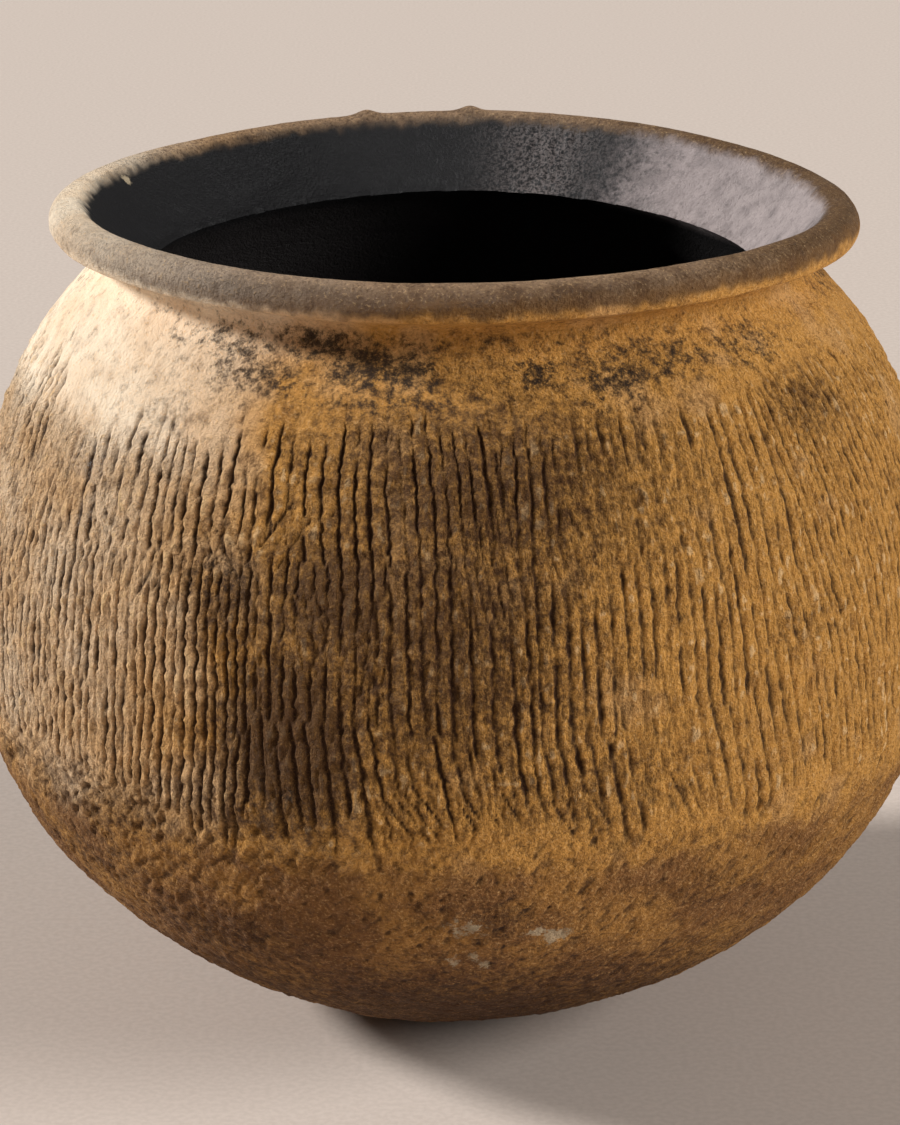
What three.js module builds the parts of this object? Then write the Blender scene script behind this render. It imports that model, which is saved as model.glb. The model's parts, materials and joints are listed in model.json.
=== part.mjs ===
// A coil-built clay storage jar with a round base, a cord-marked belly and a thick everted rim.
// Millimetres, +Z up. The origin is the centre of the small worn flat that the jar stands on.
// The potter pressed a pad of clay into a dish, raised the wall on it with coils that were beaten
// flat, and closed it with a neck coil and a rolled rim coil. Each of those is one solid here.
// Neighbours meet on slanting lap joints with a thin layer of slip between them.

import * as THREE from "three";

// Outside of the body
const bellyRadius = 145; // at the widest line
const bellyHeight = 112; // of the widest line above the resting flat
const restRadius = 27; // of the worn flat under the base
const lowerFullness = 1.83; // superellipse power below the widest line, 2 is an ellipse
const upperFullness = 2.47; // superellipse power above the widest line
const creaseShare = 0.69; // radius of the fold between shoulder and rim, as a share of the belly's
const creaseHeight = 232; // of that fold above the resting flat

// Clay thickness
const wallThickness = 9; // at the widest line
const baseThickness = 11; // at the centre of the base
const throatShare = 0.607; // radius of the narrow throat inside the neck, as a share of the belly's
const throatDrop = 5; // of the throat edge below the outer fold

// Rolled rim
const rimShare = 0.814; // radius of its outermost line, as a share of the belly's
const lipRadius = 6.6; // of the roll's round edge
const lipLift = 9.3; // of the roll's centre above the fold
const underLipAngle = -40; // degrees round the roll where its edge meets the underside
const innerLipAngle = 125; // degrees round the roll where its edge meets the inner slope
const innerLipHollow = 1.5; // how far the inner slope sags below a straight line

// How the clay is pieced together
const padRadius = 85; // outer radius of the base pad at its joint
const seamHeight = 100; // of the visible line where the lower bowl ends
const lowerCoils = 2; // between the pad and that line
const neckCoilHeight = 20; // from the neck coil's joint up to the fold
const bellyCoils = 3; // between the visible line and the neck coil
const lapSlope = 5; // how much higher a joint is outside than inside
const slipGap = 0.3; // layer of slip in every joint

// Main marks of the cord-wound paddle, upright grooves in the belly coils
const markCount = 32; // round the belly
const markWidth = 4; // across the groove at the widest line
const markDepth = 1.1;
const markFade = 9; // height over which a mark runs out at each end

// Two small nubs of clay on the far side of the rim
const nubTurns = [87.5, 107.5]; // degrees round the jar from +X
const nubHeight = 1.6;
const nubWidth = 7;

// Hand-made unevenness of the rim, in one, two and three lobes round it, fading to nothing at the base
const rimLift = [0.74, 0.72, 0.94]; // up and down
const rimLiftTurn = [2.37, 3.06, 2.07]; // radians
const rimPush = [0, 0.23, 0.21]; // outwards and inwards
const rimPushTurn = [0, 0.76, 2.53]; // radians

// Fineness
const segmentsAround = 60;
const columnsPerMark = 4; // bottom and two edges of a groove, and the wall between it and the next
const rimSegments = 144;
const wallStep = 9; // height between rings of vertices on a wall
const lipSteps = 10;

// Where one quarter of a superellipse ends, so that it passes through a given point
function reachOf(radius, fullRadius, height, power) {
  return height / (1 - (radius / fullRadius) ** power) ** (1 / power);
}

// Radius of a superellipse quarter at a distance from its widest line
function bulge(distance, fullRadius, reach, power) {
  const share = Math.min(1, distance / reach);
  return fullRadius * (1 - share ** power) ** (1 / power);
}

const creaseRadius = creaseShare * bellyRadius;
const throatRadius = throatShare * bellyRadius;
const rimRadius = rimShare * bellyRadius;
const throatHeight = creaseHeight - throatDrop;
const innerBellyRadius = bellyRadius - wallThickness;
const innerRise = throatHeight - bellyHeight;
const lowerReach = reachOf(restRadius, bellyRadius, bellyHeight, lowerFullness);
const upperReach = reachOf(creaseRadius, bellyRadius, creaseHeight - bellyHeight, upperFullness);
const innerLowerReach = bellyHeight - baseThickness;
const innerUpperReach = reachOf(throatRadius, innerBellyRadius, innerRise, upperFullness);
const jarHeight = creaseHeight + lipLift + lipRadius;

function outerRadius(z) {
  return z < bellyHeight
    ? bulge(bellyHeight - z, bellyRadius, lowerReach, lowerFullness)
    : bulge(z - bellyHeight, bellyRadius, upperReach, upperFullness);
}

function innerRadius(z) {
  return z < bellyHeight
    ? bulge(bellyHeight - z, innerBellyRadius, innerLowerReach, lowerFullness)
    : bulge(z - bellyHeight, innerBellyRadius, innerUpperReach, upperFullness);
}

// Height on the outside of the lower bowl where it has a given radius
function lowerHeightAt(radius) {
  const share = (radius / bellyRadius) ** lowerFullness;
  return bellyHeight - lowerReach * (1 - share) ** (1 / lowerFullness);
}

// Profile points on a wall from one height to another, in steps no longer than wallStep
function wallPoints(radiusAt, from, to) {
  const steps = Math.max(1, Math.ceil(Math.abs(to - from) / wallStep));
  const points = [];
  for (let i = 0; i <= steps; i++) {
    const z = from + ((to - from) * i) / steps;
    points.push(new THREE.Vector2(radiusAt(z), z));
  }
  return points;
}

// Sum of one, two and three lobes at an angle round the jar
function lobed(sizes, turns, angle) {
  return sizes.reduce((sum, size, i) => sum + size * Math.cos((i + 1) * angle + turns[i]), 0);
}

// Moves a point of the true round shape to where the hand-made one has it
function unevenly(point) {
  const fade = Math.max(0, point.z / jarHeight) ** 3;
  const angle = Math.atan2(point.y, point.x);
  const spread = 1 + (fade * lobed(rimPush, rimPushTurn, angle)) / rimRadius;
  const lift = fade * lobed(rimLift, rimLiftTurn, angle);
  return point.set(point.x * spread, point.y * spread, point.z + lift);
}

// Rises smoothly from 0 to 1 as a distance grows from nothing to a full distance
function ease(distance, full) {
  return THREE.MathUtils.smoothstep(distance, 0, full);
}

// Presses the paddle's main marks into the outside of a belly coil. The columns of vertices beside
// a mark are drawn in to its two edges.
function cordMarked(point) {
  const column = (2 * Math.PI) / (markCount * columnsPerMark);
  const number = Math.round(Math.atan2(point.y, point.x) / column);
  const place = ((number % columnsPerMark) + columnsPerMark) % columnsPerMark;
  const halfWidth = markWidth / 2 / bellyRadius;
  let angle = number * column;
  if (place === 1) angle += halfWidth - column;
  if (place === columnsPerMark - 1) angle += column - halfWidth;
  let radius = Math.hypot(point.x, point.y);
  const onOutside = radius > (outerRadius(point.z) + innerRadius(point.z)) / 2;
  if (place === 0 && onOutside) {
    const fromFoot = ease(point.z - outerOver(seamHeight), markFade);
    const fromTop = ease(outerUnder(neckJointHeight) - point.z, markFade);
    radius -= markDepth * fromFoot * fromTop;
  }
  return point.set(radius * Math.cos(angle), radius * Math.sin(angle), point.z);
}

// Raises the nubs out of the top of the rim's roll
function nubbed(point) {
  for (const turn of nubTurns) {
    const angle = THREE.MathUtils.degToRad(turn);
    const reach = rimRadius - lipRadius;
    const top = new THREE.Vector3(reach * Math.cos(angle), reach * Math.sin(angle), jarHeight);
    const share = point.distanceTo(top) / (nubWidth / 2);
    point.z += nubHeight * Math.exp(-(share ** 2));
  }
  return point;
}

// One solid of revolution from a profile that runs up its outside and down its inside
function turned(name, profile, material, segments = segmentsAround, worked = (point) => point) {
  const geometry = new THREE.LatheGeometry(profile, segments);
  geometry.rotateX(Math.PI / 2);
  const places = geometry.getAttribute("position");
  const point = new THREE.Vector3();
  for (let i = 0; i < places.count; i++) {
    unevenly(worked(point.fromBufferAttribute(places, i)));
    places.setXYZ(i, point.x, point.y, point.z);
  }
  geometry.computeVertexNormals();
  const mesh = new THREE.Mesh(geometry, material);
  mesh.name = name;
  return mesh;
}

const bowlClay = new THREE.MeshStandardMaterial({ color: 0x8f6a42, roughness: 0.9, metalness: 0 });
const cordMarkedClay = new THREE.MeshStandardMaterial({ color: 0xa97f4e, roughness: 0.92, metalness: 0 });
const neckClay = new THREE.MeshStandardMaterial({ color: 0x9a744a, roughness: 0.88, metalness: 0 });
const rimClay = new THREE.MeshStandardMaterial({ color: 0x8a755f, roughness: 0.75, metalness: 0 });

// Heights at which coils meet, measured in the middle of the wall
const padHeight = lowerHeightAt(padRadius);
const lowerCoilHeight = (seamHeight - padHeight) / lowerCoils;
const neckJointHeight = creaseHeight - neckCoilHeight;
const bellyCoilHeight = (neckJointHeight - seamHeight) / bellyCoils;

// A joint leans, so it is higher on the outside of the wall than on the inside
const halfGap = slipGap / 2;
const outerOver = (joint) => joint + lapSlope / 2 + halfGap;
const outerUnder = (joint) => joint + lapSlope / 2 - halfGap;
const innerOver = (joint) => joint - lapSlope / 2 + halfGap;
const innerUnder = (joint) => joint - lapSlope / 2 - halfGap;

// The base pad: a dish of clay with the resting flat under it
function basePad() {
  const outside = wallPoints(outerRadius, 0, outerUnder(padHeight));
  const inside = wallPoints(innerRadius, innerUnder(padHeight), baseThickness);
  inside[inside.length - 1].set(0, baseThickness);
  const profile = [new THREE.Vector2(0, 0), ...outside, ...inside];
  return turned("base_pad", profile, bowlClay);
}

// One coil of the wall between two lap joints
function wallCoil(name, lowJoint, highJoint, material, ...work) {
  const outside = wallPoints(outerRadius, outerOver(lowJoint), outerUnder(highJoint));
  const inside = wallPoints(innerRadius, innerUnder(highJoint), innerOver(lowJoint));
  const profile = [...outside, ...inside, outside[0].clone()];
  return turned(name, profile, material, ...work);
}

// The neck coil: its top is the seat that the rim coil is luted to
function neckCoil() {
  const outside = wallPoints(outerRadius, outerOver(neckJointHeight), creaseHeight - halfGap);
  const inside = wallPoints(innerRadius, throatHeight - halfGap, innerOver(neckJointHeight));
  const profile = [...outside, ...inside, outside[0].clone()];
  return turned("neck_coil", profile, neckClay);
}

// The rim coil: a roll that leans out over the fold, with a slope inside it down to the throat
function rimCoil() {
  const centre = new THREE.Vector2(rimRadius - lipRadius, creaseHeight + lipLift);
  const profile = [new THREE.Vector2(creaseRadius, creaseHeight + halfGap)];
  for (let i = 0; i <= lipSteps; i++) {
    const degrees = underLipAngle + ((innerLipAngle - underLipAngle) * i) / lipSteps;
    const spoke = new THREE.Vector2(lipRadius, 0);
    spoke.rotateAround(new THREE.Vector2(), THREE.MathUtils.degToRad(degrees));
    profile.push(spoke.add(centre));
  }
  const lipEnd = profile[profile.length - 1];
  const throat = new THREE.Vector2(throatRadius, throatHeight + halfGap);
  const middle = lipEnd.clone().lerp(throat, 0.5);
  middle.y -= innerLipHollow;
  const slope = new THREE.QuadraticBezierCurve(lipEnd, middle, throat);
  profile.push(...slope.getPoints(3).slice(1));
  profile.push(profile[0].clone());
  return turned("rim_coil", profile, rimClay, rimSegments, nubbed);
}

const jar = new THREE.Group();
jar.add(basePad());
for (let i = 0; i < lowerCoils; i++) {
  const foot = padHeight + i * lowerCoilHeight;
  jar.add(wallCoil(`lower_coil_${i + 1}`, foot, foot + lowerCoilHeight, bowlClay));
}
for (let i = 0; i < bellyCoils; i++) {
  const foot = seamHeight + i * bellyCoilHeight;
  const name = `belly_coil_${i + 1}`;
  const columns = markCount * columnsPerMark;
  jar.add(wallCoil(name, foot, foot + bellyCoilHeight, cordMarkedClay, columns, cordMarked));
}
jar.add(neckCoil());
jar.add(rimCoil());

export default jar;
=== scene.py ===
# %% [markdown]
# # A cord-marked clay storage jar
# The real jar was never one piece of clay. A potter pressed a pad into a dish, laid seven coils on
# it one after another, beat the wall thin with a paddle wound with cord, and rolled the last coil
# outwards into a rim. The packed model holds those eight pieces as solids at their real size, with
# only the main marks on them. This script keeps their places and gives each its real surface.

# %% Load the fixed frame
import json
import math

import bmesh
import bpy
import numpy as np
from mathutils import Matrix, Vector

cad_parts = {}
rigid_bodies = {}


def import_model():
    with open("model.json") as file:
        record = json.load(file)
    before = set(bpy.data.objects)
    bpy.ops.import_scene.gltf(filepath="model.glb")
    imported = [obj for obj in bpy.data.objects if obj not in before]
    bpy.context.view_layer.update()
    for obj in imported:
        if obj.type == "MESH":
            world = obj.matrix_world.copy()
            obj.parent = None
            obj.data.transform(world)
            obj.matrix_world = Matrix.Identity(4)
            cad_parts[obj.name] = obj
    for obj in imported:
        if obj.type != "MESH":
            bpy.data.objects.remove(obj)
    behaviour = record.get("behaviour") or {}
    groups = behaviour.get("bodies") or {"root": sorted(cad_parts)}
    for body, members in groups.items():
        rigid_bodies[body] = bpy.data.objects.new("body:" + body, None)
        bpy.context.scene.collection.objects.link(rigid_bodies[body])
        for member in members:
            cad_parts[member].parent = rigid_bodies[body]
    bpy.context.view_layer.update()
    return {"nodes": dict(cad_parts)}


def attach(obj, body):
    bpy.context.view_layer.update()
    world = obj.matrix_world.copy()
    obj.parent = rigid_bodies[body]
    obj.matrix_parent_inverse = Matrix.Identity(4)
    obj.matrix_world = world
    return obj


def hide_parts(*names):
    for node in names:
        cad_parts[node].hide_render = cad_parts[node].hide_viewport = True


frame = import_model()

mm = 0.001  # every length below is in millimetres, and Blender works in metres


def placed(name, data):
    """A new object in the scene that shows some data."""
    thing = bpy.data.objects.new(name, data)
    bpy.context.scene.collection.objects.link(thing)
    return thing


print("pieces in the frame:", sorted(frame["nodes"]))

# %% [markdown]
# ## The camera
# The photograph looks down into the mouth from a little over a metre away. A long lens keeps the
# round belly from bulging towards the viewer. The place and the lens were found by fitting the
# jar's outline to the photograph, so they are kept as plain values.

# %% The camera
photo_height = 1125  # pixels of the upright frame, whose long side the sensor width covers
photo_focal = 3887  # focal length in the same pixels
sensor = 36
camera_place = (0, -1108.1 * mm, 498.7 * mm)
camera_dip = math.radians(18.23)  # below the horizon
camera_turn = math.radians(0.09)  # to the left of the jar's axis
camera_roll = math.radians(-0.20)

camera_data = bpy.data.cameras.new("camera")
camera_data.sensor_width = sensor
camera_data.lens = photo_focal * sensor / photo_height
camera = placed("camera", camera_data)
camera.matrix_world = (
    Matrix.Translation(camera_place)
    @ Matrix.Rotation(camera_turn, 4, "Z")
    @ Matrix.Rotation(math.pi / 2 - camera_dip, 4, "X")
    @ Matrix.Rotation(camera_roll, 4, "Z")
)
bpy.context.scene.camera = camera
print("lens", round(camera_data.lens, 1), "mm")

# %% [markdown]
# ## The outline of the jar
# A pot raised by hand and turned against a paddle is nearly round, so half of its outline says
# almost everything. The belly has one quarter of a superellipse below its widest line and one
# above. That is an ellipse whose fullness can be set: a power above 2 makes the shoulder fuller.
# The sizes are the same driving sizes that the solids were made from.

# %% The outline of the jar
belly_radius = 145.0
belly_height = 112.0  # of the widest line
rest_radius = 27.0  # of the small worn flat underneath
lower_fullness = 1.83
upper_fullness = 2.47
crease_radius = 0.69 * belly_radius  # fold between shoulder and rim
crease_height = 232.0
wall_thickness = 9.0
base_thickness = 11.0
throat_radius = 0.607 * belly_radius
throat_height = crease_height - 5.0
rim_radius = 0.814 * belly_radius
lip_radius = 6.6
lip_lift = 9.3
under_lip_angle = math.radians(-40)
inner_lip_angle = math.radians(125)
inner_lip_hollow = 1.5
jar_height = crease_height + lip_lift + lip_radius


def reach_of(radius, full_radius, height, power):
    """Where one quarter of a superellipse ends, so that it passes through a given point."""
    return height / (1 - (radius / full_radius) ** power) ** (1 / power)


def quarter(full_radius, reach, power, first, last, count=1500):
    """Points on a quarter of a superellipse, from one angle to another, as (radius, rise) rows."""
    turn = np.linspace(first, last, count)
    radius = full_radius * np.cos(turn) ** (2 / power)
    rise_above = reach * np.sin(turn) ** (2 / power)
    return np.column_stack([radius, rise_above])


def angle_at(height, reach, power):
    """The quarter's angle at a height above its widest line."""
    return math.asin((height / reach) ** (power / 2))


lower_reach = reach_of(rest_radius, belly_radius, belly_height, lower_fullness)
upper_rise = crease_height - belly_height
upper_reach = reach_of(crease_radius, belly_radius, upper_rise, upper_fullness)
inner_radius = belly_radius - wall_thickness
inner_rise = throat_height - belly_height
inner_reach = reach_of(throat_radius, inner_radius, inner_rise, upper_fullness)
floor_reach = belly_height - base_thickness
print("the shoulder would close", round(upper_reach, 1), "mm above the widest line")

# %% [markdown]
# ## The fold under the rim
# Where the rim leans out over the shoulder the potter's finger ran round and left a soft hollow,
# not a sharp corner. An arc of a few millimetres, touching the shoulder and the underside of the
# rim, gives that hollow. It catches the shadow that separates rim from body.

# %% The fold under the rim
fold_radius = 3.5
crease = np.array([crease_radius, crease_height])
roll_centre = np.array([rim_radius - lip_radius, crease_height + lip_lift])


def on_roll(angle):
    """The point at an angle on the rounded roll of the rim."""
    return roll_centre + lip_radius * np.array([math.cos(angle), math.sin(angle)])


def unit(vector):
    return vector / np.linalg.norm(vector)


def fold_arc(count=80):
    """The arc, the point where it leaves the shoulder, and the middle of the arc."""
    before = angle_at(upper_rise - 0.01, upper_reach, upper_fullness)
    end = angle_at(upper_rise, upper_reach, upper_fullness)
    pair = quarter(belly_radius, upper_reach, upper_fullness, before, end, 2)
    down = unit(pair[0] - pair[1])
    out = unit(on_roll(under_lip_angle) - crease)
    half = math.acos(np.dot(down, out)) / 2
    centre = crease + unit(down + out) * fold_radius / math.sin(half)
    touch = fold_radius / math.tan(half)
    first = math.atan2(*(crease + down * touch - centre)[::-1])
    last = math.atan2(*(crease + out * touch - centre)[::-1])
    turn = np.linspace(first % (2 * math.pi), last % (2 * math.pi), count)
    arc = centre + fold_radius * np.column_stack([np.cos(turn), np.sin(turn)])
    return arc, crease + down * touch, crease - (crease - centre) * (1 - math.sin(half))


fold, fold_foot, fold_middle = fold_arc()
print("the fold starts at radius", round(fold[0][0], 1), "and height", round(fold[0][1], 1))

# %% [markdown]
# ## Two long curves
# The whole skin of the jar is two curves. One runs from under the base up the outside, over the
# rim and down into the throat. The other runs from the throat down the inside to the middle of the
# floor. Each keeps its length along the way and which way is out, so any piece can be cut from it
# by two positions, and neighbours share the same edge.

# %% Reading an outline at even steps
sample_step = 0.05
soft_reach = 16  # samples to each side, over which a small corner is rounded


def even_steps(points):
    """The length so far, the radius and the height along an outline, at even steps."""
    steps = np.linalg.norm(np.diff(points, axis=0), axis=1)
    points = points[np.concatenate([[True], steps > 1e-6])]
    steps = np.linalg.norm(np.diff(points, axis=0), axis=1)
    length = np.concatenate([[0], np.cumsum(steps)])
    even = np.append(np.arange(0, length[-1], sample_step), length[-1])
    return even, np.interp(even, length, points[:, 0]), np.interp(even, length, points[:, 1])


def softened(values):
    """A running mean over a few samples that leaves both ends where they are."""
    padded = np.concatenate([
        2 * values[0] - values[soft_reach:0:-1],
        values,
        2 * values[-1] - values[-2:-soft_reach - 2:-1],
    ])
    window = np.ones(2 * soft_reach + 1) / (2 * soft_reach + 1)
    return np.convolve(padded, window, mode="valid")


def skin(points):
    """The curve as a dict of arrays, with small corners rounded as wet clay rounds them."""
    s, r, z = even_steps(points)
    r, z = softened(r), softened(z)
    turn_r, turn_z = np.gradient(r), np.gradient(z)
    size = np.hypot(turn_r, turn_z)
    return {"s": s, "r": r, "z": z, "out_r": turn_z / size, "out_z": -turn_r / size}


print("a curve is read every", sample_step, "mm")


# %% The outside and the inside
def outside_curve():
    """From the middle of the underside, up and over the rim, to the edge of the throat."""
    flat = np.column_stack([np.linspace(0, rest_radius, 60), np.zeros(60)])
    steep = angle_at(belly_height, lower_reach, lower_fullness)
    lower = quarter(belly_radius, lower_reach, lower_fullness, steep, 0) * [1, -1]
    top = angle_at(upper_rise, upper_reach, upper_fullness)
    upper = quarter(belly_radius, upper_reach, upper_fullness, 0, top)
    upper = upper[upper[:, 1] + belly_height < fold_foot[1]]
    roll = [on_roll(a) for a in np.linspace(under_lip_angle, inner_lip_angle, 120)]
    lip_end = on_roll(inner_lip_angle)
    throat = np.array([throat_radius, throat_height])
    sag = (lip_end + throat) / 2 - [0, inner_lip_hollow]
    t = np.linspace(0, 1, 80)[:, None]
    slope = (1 - t) ** 2 * lip_end + 2 * t * (1 - t) * sag + t**2 * throat
    belly = np.concatenate([lower, upper]) + [0, belly_height]
    return skin(np.concatenate([flat, belly, fold, roll, slope]))


def inside_curve():
    """From the edge of the throat down to the middle of the floor."""
    top = angle_at(inner_rise, inner_reach, upper_fullness)
    upper = quarter(inner_radius, inner_reach, upper_fullness, top, 0)
    lower = quarter(inner_radius, floor_reach, lower_fullness, 0, math.pi / 2) * [1, -1]
    return skin(np.concatenate([upper, lower]) + [0, belly_height])


outside = outside_curve()
inside = inside_curve()


def place_at(curve, height):
    """Length along a curve where it first reaches a height."""
    reached = curve["z"] >= height if curve is outside else curve["z"] <= height
    return float(curve["s"][np.argmax(reached)])


print("outside", round(outside["s"][-1]), "mm long, inside", round(inside["s"][-1]), "mm long")

# %% [markdown]
# ## Where the coils meet
# Each coil was laid on the slanting edge of the one below, so a joint is higher outside than
# inside. The joints are at the heights of the solids: the pad ends where the bowl is 85 mm wide
# from the axis, two coils reach the line where the cord marks stop, three make the belly, and one
# closes the neck.

# %% Where the coils meet
lap_slope = 5.0
pad_radius = 85.0
seam_height = 100.0  # of the line where the cord marks stop
neck_joint_height = crease_height - 20.0
pad_share = (pad_radius / belly_radius) ** lower_fullness
pad_height = belly_height - lower_reach * (1 - pad_share) ** (1 / lower_fullness)
lower_joints = np.linspace(pad_height, seam_height, 3)
belly_joints = np.linspace(seam_height, neck_joint_height, 4)
joints = [*lower_joints, *belly_joints[1:]]

fold_gap = np.hypot(outside["r"] - fold_middle[0], outside["z"] - fold_middle[1])
fold_place = float(outside["s"][np.argmin(fold_gap)])
outer_marks = [0.0]
outer_marks += [place_at(outside, joint + lap_slope / 2) for joint in joints]
outer_marks += [fold_place, float(outside["s"][-1])]
inner_marks = [float(inside["s"][-1])]
inner_marks += [place_at(inside, joint - lap_slope / 2) for joint in joints]
inner_marks += [0.0, 0.0]
coil_names = [
    "base_pad", "lower_coil_1", "lower_coil_2", "belly_coil_1",
    "belly_coil_2", "belly_coil_3", "neck_coil", "rim_coil",
]
print("joints at", [round(float(joint), 1) for joint in joints])

# %% [markdown]
# ## Making one coil
# A coil is its own closed ring: outside wall, slanting top, inside wall, slanting bottom. In
# Blender such a ring is a chain of vertices spun once round the axis. Spinning in thousands of
# steps is slow, so the chain is spun in 240 and the ring edges are then subdivided, which gives the
# same even grid of quads. A number on each vertex remembers its row in the chain.

# %% The chain of one coil
outer_wall, inner_wall, joint_face = 0, 1, 2  # the kinds of row in a chain
lap_points = 2


def read_curve(curve, s):
    """Radius, height and outward normal of a curve at a length along it."""
    return [float(np.interp(s, curve["s"], curve[key])) for key in ("r", "z", "out_r", "out_z")]


def chain_of(index, row_step, inner_step):
    """Rows of one coil's chain: radius, height, outward normal, length along, kind and corner."""
    rows = []

    def walk(curve, first, last, step, kind):
        count = max(2, int(math.ceil(abs(last - first) / step)) + 1)
        for number, s in enumerate(np.linspace(first, last, count)):
            rows.append([*read_curve(curve, s), s, kind, number in (0, count - 1)])

    def lap(start, end):
        for share in np.linspace(0, 1, lap_points + 2)[1:-1]:
            r = start[0] + (end[0] - start[0]) * share
            z = start[1] + (end[1] - start[1]) * share
            rows.append([r, z, 0.0, 0.0, 0.0, joint_face, False])

    walk(outside, outer_marks[index], outer_marks[index + 1], row_step, outer_wall)
    if inner_marks[index] > inner_marks[index + 1]:
        lap(rows[-1], read_curve(inside, inner_marks[index + 1]))
        walk(inside, inner_marks[index + 1], inner_marks[index], inner_step, inner_wall)
    if index > 0:
        lap(rows[-1], rows[0])
    return np.array(rows, float)


print("the neck's chain has", len(chain_of(6, 1, 3)), "rows when its steps are 1 and 3 mm")

# %% Spinning the chain
spin_steps = 240


def spun_coil(rows, cuts, closed):
    """The chain spun once round the axis, as a bmesh with each vertex's row kept on it."""
    bm = bmesh.new()
    row_layer = bm.verts.layers.float.new("row")
    chain = []
    for number, row in enumerate(rows):
        vertex = bm.verts.new((row[0] * mm, 0, row[1] * mm))
        vertex[row_layer] = number
        chain.append(vertex)
    pairs = list(zip(chain, chain[1:]))
    if closed:
        pairs.append((chain[-1], chain[0]))
    edges = [bm.edges.new(pair) for pair in pairs]
    bmesh.ops.spin(
        bm, geom=chain + edges, cent=(0, 0, 0), axis=(0, 0, 1),
        angle=2 * math.pi, steps=spin_steps, use_merge=True,
    )
    bmesh.ops.remove_doubles(bm, verts=bm.verts[:], dist=0.001 * mm)
    bmesh.ops.recalc_face_normals(bm, faces=bm.faces[:])
    around = [e for e in bm.edges if e.verts[0][row_layer] == e.verts[1][row_layer]]
    bmesh.ops.subdivide_edges(bm, edges=around, cuts=cuts, use_grid_fill=True)
    return bm


print("a ring has", spin_steps, "steps before its edges are cut")

# %% [markdown]
# ## Chance that repeats
# Clay is never even, but a script has to give the same jar every time. A fixed table of random
# numbers, read between its cells with a smooth blend, gives soft random lumps of any size. It is
# read at a point in space and not at an angle, so it has no seam anywhere round the jar. Places on
# the jar get soft borders too, so that nothing on it ends at a hard line.

# %% Soft random lumps
table_size = 64


def cloud(points, cell, seed):
    """Soft random values from about -1 to 1 that change over one cell, at an array of points."""
    table = np.random.default_rng(seed).uniform(-1.5, 1.5, table_size**3).astype(np.float32)
    place = (points / cell + 500).astype(np.float32)
    low = np.floor(place)
    blend = place - low
    blend = blend * blend * (3 - 2 * blend)
    low = low.astype(np.int64)
    steps = (table_size**2, table_size, 1)
    shares = [(1 - blend[:, axis], blend[:, axis]) for axis in range(3)]
    spots = [[(low[:, axis] + side) % table_size * steps[axis] for side in (0, 1)] for axis in range(3)]
    total = np.zeros(len(points), np.float32)
    for i, j, k in np.ndindex(2, 2, 2):
        spot = spots[0][i] + spots[1][j] + spots[2][k]
        total += shares[0][i] * shares[1][j] * shares[2][k] * table[spot]
    return total.astype(float)


def twisted(points, lean, stretch):
    """Points turned about the axis as they rise, and squeezed in height, so that clouds read
    there become streaks that lean by an angle on the belly. Lean is positive to the upper left."""
    turn = points[:, 2] * math.tan(math.radians(lean)) / belly_radius
    x = points[:, 0] * np.cos(turn) - points[:, 1] * np.sin(turn)
    y = points[:, 0] * np.sin(turn) + points[:, 1] * np.cos(turn)
    return np.column_stack([x, y, points[:, 2] / stretch])


sample = np.random.default_rng(1).uniform(-100, 100, (2000, 3))
print("a cloud ranges over", np.round(np.quantile(cloud(sample, 5, 2), [0.05, 0.95]), 2))

# %% Soft places on the jar
def rise(value, low, high):
    """0 below low, 1 above high, and a smooth rise between them."""
    t = np.clip((value - low) / (high - low), 0, 1)
    return t * t * (3 - 2 * t)


def bell(value, width):
    """1 at zero, and softly down to nothing a little past a width on either side."""
    return np.exp(-((value / width) ** 2))


def wrapped(value, whole):
    """A difference on a circle, from minus half of the way round to half of it."""
    return (value + whole / 2) % whole - whole / 2


def round_from_front(points):
    """Degrees round the jar from the side that the photograph shows, positive to its right."""
    return np.degrees(np.arctan2(points[:, 0], -points[:, 1]))


def sector(turn, at, wide):
    """A soft upright band at an angle: 1 in its middle and 0 well outside."""
    return bell(wrapped(turn - at, 360), wide)


def patch(turn, height, at, level, wide, high):
    """A soft patch at an angle and a height: 1 in its middle and 0 well outside."""
    return sector(turn, at, wide) * bell(height - level, high)


def facing(turn, at, low, high):
    """1 on the side of the jar that faces an angle and 0 on the far side, with no seam."""
    return rise(np.cos(np.radians(turn - at)), low, high)


def left_side(turn):
    """The left of the belly, where the paddle struck hardest."""
    return facing(turn, -52, 0.3, 0.95)


print("a patch 10 wide is", round(float(sector(10, 0, 10)), 2), "at its width")

# %% [markdown]
# ## The cord marks
# The paddle was wound with twisted cord. Every blow pressed a patch of nearly upright grooves into
# the damp clay, three to five millimetres apart, and the next blow overlapped it a little askew. So
# the marks are made as blows: each has a place, a lean, a spacing and its own deep and shallow
# grooves. Where two blows meet, the later one cuts the earlier one off, as it does on the jar.

# %% One blow of the cord-wound paddle
girth = 2 * math.pi * belly_radius
break_step = 9.0  # along a cord mark, between the places where it can grow faint
break_count = 12
twist_step = 2.6  # along a cord mark, between one twist of the cord and the next
twist_count = 42
usual_pitch = 4.2  # between cord marks whose grooves have their usual width


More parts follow.
